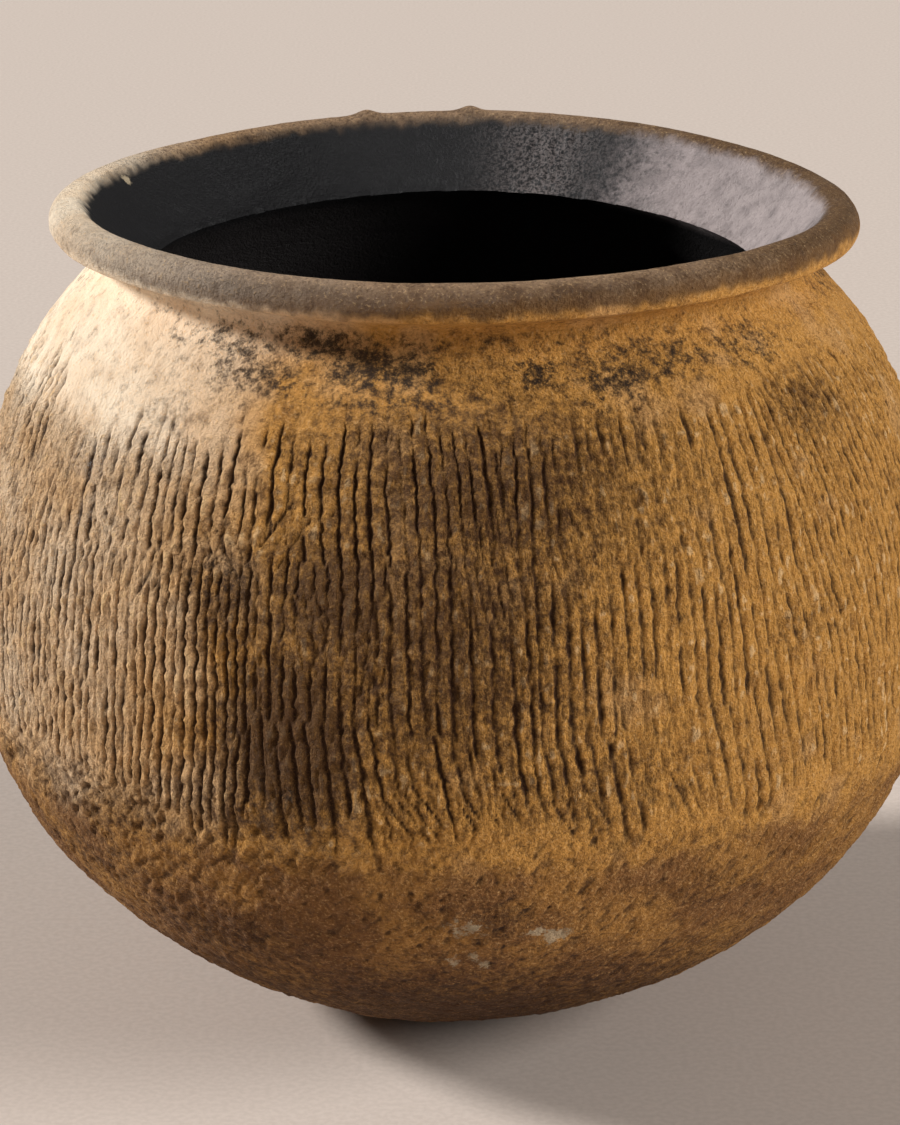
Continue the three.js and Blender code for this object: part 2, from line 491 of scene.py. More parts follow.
def blow(at, level, lean, half_width, half_height, pitch, depth, rng):
    """One blow: at in degrees from the front, level in millimetres up, the rest in the wall."""
    count = int(3.2 * half_width / pitch) + 2
    lines = np.cumsum(rng.uniform(0.84, 1.16, count)) * pitch
    faint = rng.uniform(0, 1, count) < 0.05
    return {
        "at": math.radians(at) * belly_radius,
        "level": place_at(outside, level),
        "lean": math.radians(lean),
        "half_width": half_width,
        "half_height": half_height,
        "depth": depth,
        "order": rng.uniform(0, 0.25),
        "lines": lines - lines.mean(),
        "widths": rng.uniform(0.5, 0.7, count) * pitch / usual_pitch,
        "depths": np.where(faint, rng.uniform(0.25, 0.5, count), rng.uniform(0.65, 1.0, count)),
        "breaks": np.clip(rng.uniform(0.5, 1.9, (count, break_count)), 0, 1),
        "dents": rng.uniform(0.68, 1.0, (count, twist_count)),
        "sways": rng.normal(0, 0.13, (count, twist_count)),
    }


def lean_of(at, level):
    """How far the marks lean to the upper left, in degrees, at a place on the belly."""
    lean = 1.5 + 17 * patch(at, level, -8, 208, 9, 12)
    lean += 24 * patch(at, level, 2, 106, 12, 11) + 18 * patch(at, level, 28, 108, 12, 11)
    lean += 9 * patch(at, level, 55, 160, 18, 50)
    return float(lean)


print("at the front the marks lean", round(lean_of(0, 150), 1), "degrees to the left")


# %% All the blows
def main_blows():
    """Three rows of large blows that cover the belly."""
    rng = np.random.default_rng(11)
    blows = []
    columns = 22
    for column in range(columns):
        for level in (192, 150, 113):
            at = 360 / columns * (column + rng.uniform(-0.25, 0.25)) - 180
            height = level + rng.uniform(-8, 8)
            lean = lean_of(at, height) + rng.normal(0, 2.0)
            close = (level < 180 and abs(at + 45) < 30) or abs(at - 62) < 18
            pitch = rng.uniform(3.4, 3.9) if close else rng.uniform(4.1, 4.8)
            blows.append(blow(at, height, lean, 23, 27, pitch, 1.0, rng))
    return blows


def crossing_blows():
    """Later, lighter blows at other angles, over a small share of the belly."""
    rng = np.random.default_rng(12)
    blows = []
    for number in range(18):
        at = rng.uniform(-180, 180)
        height = rng.uniform(114, 200)
        lean = lean_of(at, height) + rng.choice([-1, 1]) * rng.uniform(6, 17)
        size = rng.uniform(6, 11)
        blows.append(blow(at, height, lean, size, size * 1.4, rng.uniform(2.6, 3.6), 0.6, rng))
    for at, level, lean in ((-27, 177, 36), (-20, 183, -34), (-46, 181, 24), (-38, 164, -28)):
        blows.append(blow(at, level, lean, 5, 9, 4.2, 0.75, rng))
    for at in (-74, -64, -54, -45, -37):
        lean = -52 + rng.uniform(-10, 10)
        blows.append(blow(at, 98 + rng.uniform(-4, 4), lean, 12, 13, 3.6, 0.7, rng))
    for at in (-5, 4, 13, 24):
        blows.append(blow(at, 108, 28 + rng.uniform(-5, 5), 9, 10, 2.9, 0.75, rng))
    return blows


def scrape_blows():
    """Long shallow strokes of the scraper on the left of the bowl, and a few behind."""
    rng = np.random.default_rng(13)
    places = (
        # degrees from the front, height and lean
        (-68, 84, -46), (-58, 76, -42), (-48, 70, -36), (-38, 76, -27), (-30, 66, -24),
        (-82, 78, -50), (-110, 74, -40), (128, 74, -38), (160, 66, -44), (-150, 70, -36),
    )
    return [blow(*place, 13, 19, rng.uniform(4.2, 5.4), 0.34, rng) for place in places]


main = main_blows()
crossing = crossing_blows()
scrapes = scrape_blows()
print(len(main), "blows cover the belly,", len(crossing), "cross them,", len(scrapes), "scrapes below")

# %% [markdown]
# ## Reading the blows
# For every vertex of the wall the blow that it lies deepest in wins, with a soft border. A groove
# is narrow and deep with a wide, very shallow shoulder on each side, which rounds the ridges
# between the lines. Each line has its own depth and width, and fades and returns along its way,
# because cord slips and clay sticks. The twist of the cord makes it swell and sway as it goes.

# %% Reading the blows
shoulder_share = 0.12  # of a groove's depth that is its wide shallow part
shoulder_width = 1.6
border_sharpness = 26


def along_line(table, number, v, step):
    """Values of a table with one row for each line, read at a length along the line."""
    place = np.clip(v / step + table.shape[1] / 2, 0, table.shape[1] - 1.001)
    low = place.astype(int)
    blend = place - low
    return table[number, low] * (1 - blend) + table[number, low + 1] * blend


def grooves_of(one, across, along):
    """Grooves of one blow, 0 on the ridges and up to 1 in the grooves, and where it reaches."""
    u = across * math.cos(one["lean"]) + along * math.sin(one["lean"])
    v = along * math.cos(one["lean"]) - across * math.sin(one["lean"])
    lines = one["lines"]
    right = np.clip(np.searchsorted(lines, u), 1, len(lines) - 1)
    number = right - (u - lines[right - 1] < lines[right] - u)
    gap = np.abs(u - lines[number] - along_line(one["sways"], number, v, twist_step))
    shape = (1 - shoulder_share) * bell(gap, one["widths"][number])
    shape += shoulder_share * bell(gap, shoulder_width)
    kept = along_line(one["breaks"], number, v, break_step)
    kept *= along_line(one["dents"], number, v, twist_step)
    edge = np.maximum(np.abs(u) / one["half_width"], np.abs(v) / one["half_height"])
    return shape * kept * one["depths"][number] * one["depth"], edge


def struck(one, around, s, wander):
    """Which vertices a blow can reach, its grooves there and how near they are to its edge."""
    across = wrapped(around - one["at"], girth)
    along = s - one["level"]
    room = 1.5 * max(one["half_width"], one["half_height"])
    pick = np.flatnonzero((np.abs(across) < room) & (np.abs(along) < room))
    return pick, *grooves_of(one, across[pick] + wander[pick], along[pick])


def cord_marks(around, s, wander):
    """How deep the cord marks are at each vertex, from 0 to 1, before they are masked."""
    marks, weight = np.zeros(len(s)), np.full(len(s), 1e-30)
    for one in main:
        pick, depth, edge = struck(one, around, s, wander)
        share = np.exp(-border_sharpness * (edge + one["order"]))
        marks[pick] += share * depth
        weight[pick] += share
    marks = marks / weight
    for one in crossing:
        pick, depth, edge = struck(one, around, s, wander)
        over = 1 - rise(edge, 0.75, 1.1)
        marks[pick] = np.maximum(marks[pick] * (1 - 0.5 * over), depth * over)
    return marks


def scrape_marks(around, s, wander):
    """How deep the scraper's strokes are on the bowl."""
    marks = np.zeros(len(s))
    for one in scrapes:
        pick, depth, edge = struck(one, around, s, 2 * wander)
        marks[pick] = np.maximum(marks[pick], depth * (1 - rise(edge, 0.6, 1.2)))
    return marks


middle_width = float(np.mean([one["widths"].mean() for one in main])) * 2 * math.log(2) ** 0.5
print("grooves are about", round(middle_width, 1), "mm wide at half their depth")

# %% [markdown]
# ## The rest of the surface
# Between the cord marks the clay is torn and lumpy, because the cord stuck to it and pulled. Below
# them the bowl was scraped with a plain edge, which left pits and slanting streaks. The neck was
# wiped with a wet hand and the rim rubbed smooth. All of it is pressed inwards from the outline, so
# the jar never grows past its solids. Each part also gives how hollow it lies, for dirt and painted
# shade in the hollows and for wear and a painted highlight on the crests.

# %% The beaten belly
groove_depth = 1.5
belly_foot = seam_height + 4.0
belly_top = neck_joint_height


def belly_mask(turn, z, points):
    """1 where the paddle struck, 0 on the bowl and the neck, with a ragged border."""
    left = left_side(turn)
    ragged = 3 * cloud(points, 17, 21) + (3.4 + 4 * left) * cloud(points * [1, 1, 0.1], 3.4, 22)
    top = belly_top - 6 * sector(turn, -30, 14) - 11 * sector(turn, -54, 12) + 3 * sector(turn, 52, 14)
    foot = belly_foot - 16 * sector(turn, -55, 22)
    return rise(z + ragged, foot - 3, foot + 3) * (1 - rise(z + ragged, top - 5 - 4 * left, top + 4))


def belly_relief(s, turn, z, points, wander, lumps):
    """The cord marks and the torn clay between them: push in millimetres, and how hollow."""
    left = left_side(turn)
    belly = belly_mask(turn, z, points)
    marks = cord_marks(np.radians(turn) * belly_radius, s, wander) * belly
    marks *= 1 + 0.22 * left - 0.12 * facing(turn, 70, 0.5, 0.95)
    fibres = cloud(twisted(points, 2, 7), 1.1, 52)
    torn = rise(cloud(points * [1, 1, 0.6], 1.5, 55), -0.05, 0.35)  # small steps with a crisp edge
    rough = 0.27 + 0.13 * left + 0.16 * patch(turn, z, -50, 103, 28, 14)
    combed = 0.1 + 0.14 * facing(turn, 60, 0, 0.8)
    push = belly * (1 - 0.55 * marks) * (rough * (lumps - torn) + combed * fibres)
    # the crests later get wear and a painted highlight, the hollows dirt and painted shade
    crest = np.clip(lumps - torn, 0, 1) * belly * (1 - np.clip(2 * marks, 0, 1))
    return push - groove_depth * marks, 1.1 * marks + 0.22 * belly * torn - 0.7 * crest


print("cord marks run from about", belly_foot, "to", belly_top, "mm up")

# %% The bowl, the neck, the rim and the inside
rim_foot = crease_height - 1.0
neck_foot = neck_joint_height - 1.0
roll_top_place = float(outside["s"][np.argmax(outside["z"])])
crust_turn = 163  # degrees from the front to the rough deposit inside the far rim


def bowl_relief(s, turn, z, points, wander, lumps, pits):
    """Streaks, pits and long strokes: push in millimetres, and how hollow."""
    bowl = 1 - rise(z + 3 * cloud(points, 15, 23), seam_height - 3, seam_height + 4)
    right = facing(turn, 90, -0.4, 0.4)
    striped = cloud(twisted(points, -42, 6), 1.7, 41) * (1 - right)
    striped += cloud(twisted(points, -30, 6), 1.5, 42) * right
    scrape = scrape_marks(np.radians(turn) * belly_radius, s, wander) * bowl
    scratched = 0.36 * striped + 0.26 * lumps - 0.35 * pits
    push = bowl * (scratched * (0.6 + 0.4 * rise(z, 50, 85)) - groove_depth * scrape)
    return push, 0.5 * scrape + bowl * (0.45 * pits + 0.5 * rise(-striped, 0.1, 0.9))


def rim_mask(z):
    return rise(z, rim_foot, rim_foot + 4)


def crusted(s, turn, z):
    return sector(turn, crust_turn, 9) * rise(s - roll_top_place, 4, 9) * (z > throat_height - 1)


def neck_and_rim_relief(s, turn, z, points, lumps, pits):
    """Wiped lines, soft swells and the deposit: push in millimetres, and how hollow."""
    rim = rim_mask(z)
    neck = rise(z, neck_foot, neck_foot + 6) * (1 - rim)
    wiped = cloud(points * [0.09, 0.09, 1], 1.5, 45)
    crumbs = 0.4 + 0.8 * cloud(points, 2.1, 53) + 0.7 * cloud(points, 1.1, 54)
    push = neck * (0.1 * wiped + 0.13 * cloud(points, 5, 48) + 0.1 * lumps - 0.2 * pits)
    push += rim * (0.04 * wiped + 0.12 * cloud(points, 16, 49) + 0.04 * cloud(points, 2.2, 50))
    return push + 0.5 * crusted(s, turn, z) * crumbs, 0.3 * neck * pits


def inside_relief(s, points):
    """Dints of the stone held against the paddle, and level finger lines."""
    push = 0.6 * cloud(points, 26, 61) + 0.2 * cloud(points * [0.1, 0.1, 1], 4, 62)
    return push * rise(s, 1.0, 8.0)


print("the top of the roll is", round(roll_top_place), "mm along the outside curve")

# %% The whole outside
inset = 0.25  # how far the mean surface lies inside the outline
seam_dip = 0.4
seam_width = 2.5


def outside_relief(s, z, points):
    """Push along the normal in millimetres, and how hollow each vertex is, -1 to 1."""
    turn = round_from_front(points)
    wander = 1.1 * cloud(points, 34, 31) + 0.13 * cloud(points, 3.2, 32)
    wander += (0.2 + 0.16 * left_side(turn)) * cloud(points, 1.6, 33) + 0.16 * cloud(points, 0.9, 34)
    lumps = 0.45 * cloud(points, 3.6, 44) + 0.75 * cloud(points, 1.7, 51)
    pits = rise(cloud(points, 2.1, 43), 0.6, 1.0)
    swell = 0.3 * cloud(points, 13, 47) - 0.5 * rise(cloud(points, 42, 46), -0.4, 1.0)
    push = swell * (1 - rim_mask(z)) - 0.3 - seam_dip * bell(z - seam_height, seam_width)
    hollow = np.zeros(len(z))
    for part_push, part_hollow in (
        belly_relief(s, turn, z, points, wander, lumps),
        bowl_relief(s, turn, z, points, wander, lumps, pits),
        neck_and_rim_relief(s, turn, z, points, lumps, pits),
    ):
        push += part_push
        hollow += part_hollow
    return np.minimum(push - inset, -0.02), np.clip(hollow, -1, 1)


print("the mean surface lies", inset, "mm inside the outline of the solids")

# %% [markdown]
# ## The hand-made lean of the rim
# The rim of the real jar isn't level: as it goes round it rises and falls by a millimetre or two.
# The solids have that unevenness in one, two and three lobes, and the same sum moves the finished
# surface here. Two small nubs of clay stand on the far side, and the edge of the throat has lost
# small chips.

# %% The lean of the rim
rim_lift = (0.74, 0.72, 0.94)
rim_lift_turn = (2.37, 3.06, 2.07)
rim_push = (0.0, 0.23, 0.21)
rim_push_turn = (0.0, 0.76, 2.53)


def lobed(sizes, turns, angle):
    """A sum of waves that go round the jar once, twice and three times."""
    return sum(size * np.cos((i + 1) * angle + turns[i]) for i, size in enumerate(sizes))


def unevenly(points):
    """Points of the true round shape, moved to where the hand-made one has them."""
    angle = np.arctan2(points[:, 1], points[:, 0])
    fade = np.clip(points[:, 2] / jar_height, 0, None) ** 3
    spread = 1 + fade * lobed(rim_push, rim_push_turn, angle) / rim_radius
    lift = fade * lobed(rim_lift, rim_lift_turn, angle)
    return np.column_stack([points[:, :2] * spread[:, None], points[:, 2] + lift])


lifts = lobed(rim_lift, rim_lift_turn, np.linspace(0, 2 * math.pi, 361))
print("the rim rises and falls from", round(lifts.min(), 1), "to", round(lifts.max(), 1), "mm")

# %% The nubs and the chipped throat
nub_turns = (177.5, -165.5)  # degrees from the front
nub_height = 1.6
nub_width = 7.0
chip_reach = 1.4  # how far from the edge of the throat its chips are felt


def nub_lift(turn, over_roll):
    """How far the clay of the two nubs stands up from the top of the roll."""
    lift = np.zeros(len(turn))
    for at in nub_turns:
        round_way = np.radians(wrapped(turn - at, 360)) * (rim_radius - lip_radius)
        lift += nub_height * bell(np.hypot(round_way, over_roll), nub_width / 2)
    return lift


def throat_chips(directions):
    """How far the throat's edge has broken back, for points given by their direction."""
    edge = directions * throat_radius
    return 0.9 * rise(cloud(edge, 3.5, 81), 0.1, 0.9) + 0.3 * rise(cloud(edge, 1.3, 82), 0, 0.8)


print("the nubs are", nub_height, "mm high and", nub_width, "mm wide")

# %% [markdown]
# ## Soot, stains, lime, rubbed places and painted shade
# The jar stood in fires and in the ground. Soot clings in flakes under the rim, with painted shade in
# the fold just below it; a dark stain runs down the belly, with painted shade where the front turns
# away from the key lamp and on the side that faces it; lime left a few pale spots low down, and one
# place on the shoulder is rubbed until it shines. Each is a soft map kept on the vertices. The material
# breaks its edge up into flakes.

# %% The places of the stains, the soot and the painted shade
# soot in flakes; the thin bands just under the fold of the rim are partly painted shade
soot_and_shade_places = (
    # degrees from the front, height, width in degrees, height of the patch, strength
    (-13, 224, 6, 7, 1.0), (-6, 223, 4.5, 6, 0.95), (-20, 228, 8, 4, 0.9), (11, 222, 4, 4, 0.75),
    (22, 220, 6, 7, 0.8), (31, 223, 9, 6, 0.6), (46, 222, 9, 6, 0.6), (-34, 226, 12, 5, 0.6),
    (0, 229, 60, 3.0, 0.3), (-28, 220, 10, 5, 0.55), (-8, 217, 14, 4, 0.5), (-20, 112, 6, 7, 0.4),
    (-27, 170, 5, 8, 0.35), (135, 200, 16, 18, 0.6), (178, 222, 18, 6, 0.8), (-100, 226, 16, 4, 0.6),
    (-150, 214, 12, 7, 0.6), (90, 226, 20, 4, 0.6), (-178, 150, 12, 20, 0.45),
)
# stains and painted shade: the entries at -25 to -13 deepen the front where the key lamp's light turns
# away, the one at -116 darkens the side that faces the key lamp, and the one at 0 and 28 darkens the
# bottom of the bowl
stain_and_shade_places = (
    (-18, 128, 10, 32, 1.45), (-13, 167, 12, 24, 1.15), (-25, 164, 8, 20, 0.9),
    (-24, 106, 12, 12, 0.8), (-3, 158, 20, 46, 0.95), (2, 196, 26, 30, 0.95), (14, 118, 14, 18, 0.5),
    (52, 205, 9, 11, 0.7), (5, 74, 6, 9, 0.6), (9, 48, 9, 10, 0.6), (-42, 96, 24, 14, 0.6),
    (32, 76, 12, 12, 0.5), (-30, 58, 22, 18, 0.65), (140, 150, 24, 40, 0.8), (-130, 130, 20, 30, 0.7),
    (42, 150, 5, 7, 0.45), (90, 112, 14, 18, 0.55), (-165, 90, 24, 18, 0.7), (30, 95, 10, 8, 0.35),
    (0, 28, 60, 30, 1.05), (-50, 76, 22, 18, 0.5), (26, 222, 18, 8, 0.6), (-10, 70, 40, 14, 0.25),
    (-38, 207, 10, 8, 0.35), (-27, 219, 15, 9, 0.5), (75, 170, 12, 20, 0.4),
    (-116, 150, 24, 70, 0.9), (-95, 60, 30, 30, 0.5),
)
lime_places = (
    (12, 67, 2.2, 2.6, 1.0), (9.5, 69, 1.6, 2.0, 0.9), (1, 72, 3.0, 4.5, 0.6),
    (-0.5, 58, 0.9, 2.6, 0.8), (2.2, 60, 0.8, 2.6, 0.8), (3.6, 56, 0.9, 2, 0.7),
    (-150, 110, 4, 5, 0.7), (100, 62, 5, 4, 0.6),
)
rubbed_places = ((-51, 191, 4, 5, 1.0), (-49, 177, 1.8, 12, 0.75), (-62, 205, 8, 8, 0.4))
print(len(soot_and_shade_places), "sooty places,", len(stain_and_shade_places), "stained and", len(lime_places), "limy")

# %% The maps on the vertices
chip_turn = -111  # a light chip inside the left of the rim
chip_place = 8  # from the top of the roll


def map_of(places, turn, z):
    """The strongest of the places at every vertex."""
    total = np.zeros(len(turn))
    for at, level, wide, high, strength in places:
        total = np.maximum(total, strength * patch(turn, z, at, level, wide, high))
    return total


def clay_and_painted_light_maps(kind, s, z, points):
    """What sits where on the clay, and where light and shade are painted on it: a dict of values at
    every vertex, most of them from 0 to 1.
    """
    turn = round_from_front(points)
    outer = kind == outer_wall
    body = outer & (s <= outer_marks[-2])
    over_roll = s - roll_top_place
    ragged = 0.7 * cloud(points, 9, 71) + 0.9 * cloud(points, 2.4, 72)
    lowered = ragged + 1.8 * np.cos(np.radians(turn + 35))
    chip = bell(np.hypot(turn - chip_turn, (over_roll - chip_place) * 0.5), 1.0)
    on_rim = rise(z, 222, 236)
    # painted light: the side that faces the key lamp is paler, on the body and on the rim
    pale = (1 - on_rim) * facing(turn, -70, 0.62, 0.93) + on_rim * facing(turn, -75, 0.3, 0.88)
    brown_rim = facing(turn, -4, 0.7, 0.95) * (1 - rise(over_roll + lowered, -6, 1))
    return {
        # soot, with painted shade in the fold under the rim
        "soot_and_shade": map_of(soot_and_shade_places, turn, z) * body,
        # stains, partly painted shade
        "stain_and_shade": map_of(stain_and_shade_places, turn, z) * body,
        "lime": np.maximum(map_of(lime_places, turn, z) * body, chip * outer),
        "crust": crusted(s, turn, z) * outer,
        "polish": map_of(rubbed_places, turn, z) * body,
        # painted light: how much paler the lamp-lit side is painted
        "tone": pale * (0.5 * rise(z, 60, 120) + 0.5 * rise(z, 188, 206)),
        # painted light: the sides that face the two lamps, whose hollows get less dirt and painted
        # shade
        "lamp_lit_sides": np.maximum(facing(turn, -60, 0.3, 0.9), facing(turn, 62, 0.5, 0.93)),
        "smooth": facing(turn, -72, 0.55, 0.93) * rise(z, 192, 206) * body,
        "belly": rise(z, 100, 110) * (1 - rise(z, 205, 214)) * outer,
        "scraped": np.where(outer, 1 - rise(z + 3 * ragged, 86, 98), 0),
        "rim_top": np.where(outer, rise(over_roll + lowered, -13.0, -5.0), 1),
        # painted highlight: the left end of the rim, facing the key lamp, stays pale instead of grey
        "rim_lit_end": 0.86 * sector(turn, -90, 34),
        "throat": np.where(outer, rise(over_roll + ragged, 2.5, 8), 1),
        # painted light: the side of the slope inside the rim that the key lamp lights is mauve, the
        # rest is painted dark
        "slope_lamp_side": facing(turn, 112, 0.66, 0.98),
        "rim_brown": np.maximum(facing(turn, 95, 0.2, 0.9), 0.9 * brown_rim),
        # soot and painted shade: the inside of the jar is made dark
        "dark": np.where(kind == inner_wall, rise(s, 0, 9), 0),
    }


print("the rim starts", round(roll_top_place - outer_marks[-2]), "mm below the top of the roll")

# %% [markdown]
# ## From rings to coils
# The spun ring has vertices on the straight chords between its 240 steps. Each is now put on the
# true circle at its own angle, pushed in or out by the relief, and moved with the lean of the rim.
# Blender's collections are read and written as whole arrays, which is far quicker than a loop. A
# joint's edges are marked sharp, so that its hidden face does not shade the wall.

# %% Where every vertex goes
throat_fade = 3.0  # over which the relief fades out towards the edge of the throat


def coil_points(index, rows, angle):
    """Places in millimetres and a dict of maps, for vertices with their rows and angles."""
    r, z, out_r, out_z, s, kind = rows.T[:6]
    way = np.column_stack([np.cos(angle), np.sin(angle), np.zeros(len(angle))])
    up = np.array([0, 0, 1])
    points = way * r[:, None] + np.outer(z, up)
    normals = way * out_r[:, None] + np.outer(out_z, up)
    outer, inner = kind == outer_wall, kind == inner_wall
    push, hollow = np.zeros(len(r)), np.zeros(len(r))
    push[outer], hollow[outer] = outside_relief(s[outer], z[outer], points[outer])
    push[inner] = inside_relief(s[inner], points[inner])
    throat_gap = np.hypot(r - throat_radius, z - throat_height)
    push *= rise(throat_gap, 0, throat_fade)
    back = throat_chips(way) * bell(throat_gap, chip_reach)
    points += normals * push[:, None] + np.outer(back, -0.5 * up) + way * back[:, None]
    if coil_names[index] == "rim_coil":
        points[outer, 2] += nub_lift(round_from_front(points[outer]), s[outer] - roll_top_place)
    return unevenly(points), {"hollow": hollow, **clay_and_painted_light_maps(kind, s, z, points)}


print("the relief fades out over the last", throat_fade, "mm before the throat")


# %% One finished coil
def read(items, key, width, kind=np.float32):
    """One value of every item in a Blender collection, as an array with a row for each."""
    values = np.zeros(len(items) * width, kind)
    items.foreach_get(key, values)
    return values.reshape(-1, width)


def keep(mesh, label, kind, domain, values):
    """A new attribute on a mesh, with its values."""
    mesh.attributes.new(label, kind, domain).data.foreach_set("value", values)


def finished_coil(index, cuts, row_step, inner_step):
    """The object of one coil, with its relief and its maps."""
    rows = chain_of(index, row_step, inner_step)
    bm = spun_coil(rows, cuts, closed=index > 0)
    name = coil_names[index] + "_clay"
    mesh = bpy.data.meshes.new(name)
    bm.to_mesh(mesh)
    bm.free()

    number = np.rint(read(mesh.attributes["row"].data, "value", 1)[:, 0]).astype(int)
    spots = read(mesh.vertices, "co", 3).astype(float)
    step = 2 * math.pi / (spin_steps * (cuts + 1))
    angle = np.rint(np.arctan2(spots[:, 1], spots[:, 0]) / step) * step
    points, maps = coil_points(index, rows[number], angle)
    mesh.vertices.foreach_set("co", (points * mm).astype(np.float32).ravel())
    for label, values in maps.items():
        keep(mesh, label, "FLOAT", "POINT", values.astype(np.float32))

    ends = read(mesh.edges, "vertices", 2, np.int32)
    level = number[ends[:, 0]] == number[ends[:, 1]]
    corner = rows[number[ends[:, 0]], 6] > 0
    keep(mesh, "sharp_edge", "BOOLEAN", "EDGE", level & corner)
    mesh.attributes.remove(mesh.attributes["row"])
    mesh.shade_smooth()
    mesh.update()
    print(name, "has", len(mesh.loops) - 2 * len(mesh.polygons), "triangles")
    return placed(name, mesh)


most_cuts = 9
fineness = {
    # cuts of each step, row step outside, row step inside
    "base_pad": (3, 1.3, 5.0),
    "lower_coil_1": (5, 1.1, 8.0),
    "lower_coil_2": (7, 1.15, 8.0),
    "belly_coil_1": (9, 1.2, 14.0),
    "belly_coil_2": (9, 1.2, 14.0),
    "belly_coil_3": (8, 1.25, 10.0),
    "neck_coil": (7, 0.9, 3.0),
    "rim_coil": (4, 0.8, 3.0),
}
coils = {}
for index, name in enumerate(coil_names):
    cuts, row_step, inner_step = fineness[name]
    coils[name] = finished_coil(index, min(cuts, most_cuts), row_step, inner_step)

# %% [markdown]
# ## A recipe for materials
# Written out one by one, the nodes of a material hide what they do. A small class adds a node, sets
# it and gives its output, so that a finish reads like a recipe. It reads space in millimetres for
# its grain, and the vertex maps for what sits where.

# %% A recipe for materials
class Recipe:
    """A material, with a short way to add each kind of node to it."""

    def __init__(self, name):
        self.material = bpy.data.materials.new(name)
        self.material.use_nodes = True
        self.tree = self.material.node_tree
        self.tree.nodes.clear()
        self.space = self.scaled((1 / mm,) * 3, self.add("TexCoord").outputs["Object"])

    def add(self, kind):
        return self.tree.nodes.new("ShaderNode" + kind)

    def fill(self, node, sockets):
        """Give sockets a plain value each, or join another node's output to them."""
        for label, value in sockets.items():
            if hasattr(value, "is_output"):
                self.tree.links.new(value, node.inputs[label])
            else:
                node.inputs[label].default_value = value
        return node

    def scaled(self, scale, space):
        return self.fill(self.add("Mapping"), {"Scale": scale, "Vector": space}).outputs[0]

    def noise(self, size, detail, rough, space=None):
        sockets = {"Scale": 1 / size, "Detail": detail, "Roughness": rough}
        node = self.fill(self.add("TexNoise"), {**sockets, "Vector": space or self.space})
        return node.outputs["Fac"]

    def map(self, name):
        node = self.add("Attribute")
        node.attribute_name = name
        return node.outputs["Fac"]

    def math(self, operation, first, second, clamp):
        node = self.add("Math")
        node.operation = operation
        node.use_clamp = clamp
        return self.fill(node, {0: first, 1: second}).outputs[0]

    def plus(self, first, second, clamp=False):
        return self.math("ADD", first, second, clamp)

    def minus(self, first, second, clamp=False):
        return self.math("SUBTRACT", first, second, clamp)

    def times(self, first, second, clamp=False):
        return self.math("MULTIPLY", first, second, clamp)

    def ramp(self, value, low, high, to_low=0.0, to_high=1.0):
        """A smooth way from one value at low to another at high."""
        node = self.add("MapRange")
        node.interpolation_type = "SMOOTHSTEP"
        ends = {"From Min": low, "From Max": high, "To Min": to_low, "To Max": to_high}
        return self.fill(node, {"Value": value, **ends}).outputs["Result"]

    def mix(self, share, first, second):
        node = self.add("Mix")
        node.data_type = "RGBA"
        return self.fill(node, {0: share, 6: first, 7: second}).outputs[2]  # those for colours

    def cover(self, colour, *layers):
        """The colour under layers that follow each other, each a share and its own colour."""
        for share, paint in layers:
            colour = self.mix(share, colour, paint)
        return colour

    def bump(self, height, distance):
        sockets = {"Strength": 1.0, "Distance": distance * mm, "Height": height}
        return self.fill(self.add("Bump"), sockets).outputs["Normal"]

    def surface(self, sockets):
        shader = self.fill(self.add("BsdfPrincipled"), sockets)
        self.fill(self.add("OutputMaterial"), {"Surface": shader.outputs["BSDF"]})


print("a recipe can:", [name for name in vars(Recipe) if name[0] != "_"])

# %% [markdown]
# ## The fired clay
# Low-fired clay is matt and full of small changes. It is ochre, made paler by painted light on the side
# that the key lamp lights; brown dirt and painted shade lie in every groove, and the ridges are
# lighter, partly rubbed and partly a painted highlight. One recipe serves all four finishes, because
# they are the same clay. It starts with the bare clay and lays on soil with painted shade, stains and
# soot with painted shade, the grey of the rim, the painted shade and soot of the mouth and lime, one
# after another.

# %% The colours of the jar
def srgb(red, green, blue):
    """A colour written as it looks on a screen, from 0 to 255, as Blender's linear numbers."""
    shares = [value / 255 for value in (red, green, blue)]
    linear = [v / 12.92 if v <= 0.04045 else ((v + 0.055) / 1.055) ** 2.4 for v in shares]
    return (*linear, 1)


ochre = srgb(206, 149, 71)  # the bare clay
lamp_lit_beige = srgb(246, 228, 202)  # painted light: paler where the key lamp falls, on the left
bowl_brown = srgb(138, 92, 46)
# dark brown of dirt and painted shade in hollows; light tan of wear on grains and of a painted
# highlight on crests
dirt_and_hollow_shade = srgb(54, 31, 13)
wear_and_highlight = srgb(232, 194, 140)
stain_and_shade_brown = srgb(64, 36, 14)
soot_and_shade_black = srgb(36, 26, 19)
lime_white = srgb(200, 180, 148)
rim_grey = srgb(134, 111, 90)
rim_brown = srgb(66, 46, 31)
throat_mauve = srgb(172, 158, 155)
# painted shade with soot: the unlit side of the mouth's slope and the inside of the jar
throat_shade_and_soot = srgb(10, 8, 10)
inside_black = srgb(30, 25, 24)
crust_grey = srgb(150, 138, 134)
print("ochre as Blender sees it:", [round(v, 3) for v in ochre[:3]])


# %% What the layers of the clay share
mottle_size = 26
grain_size = 0.9


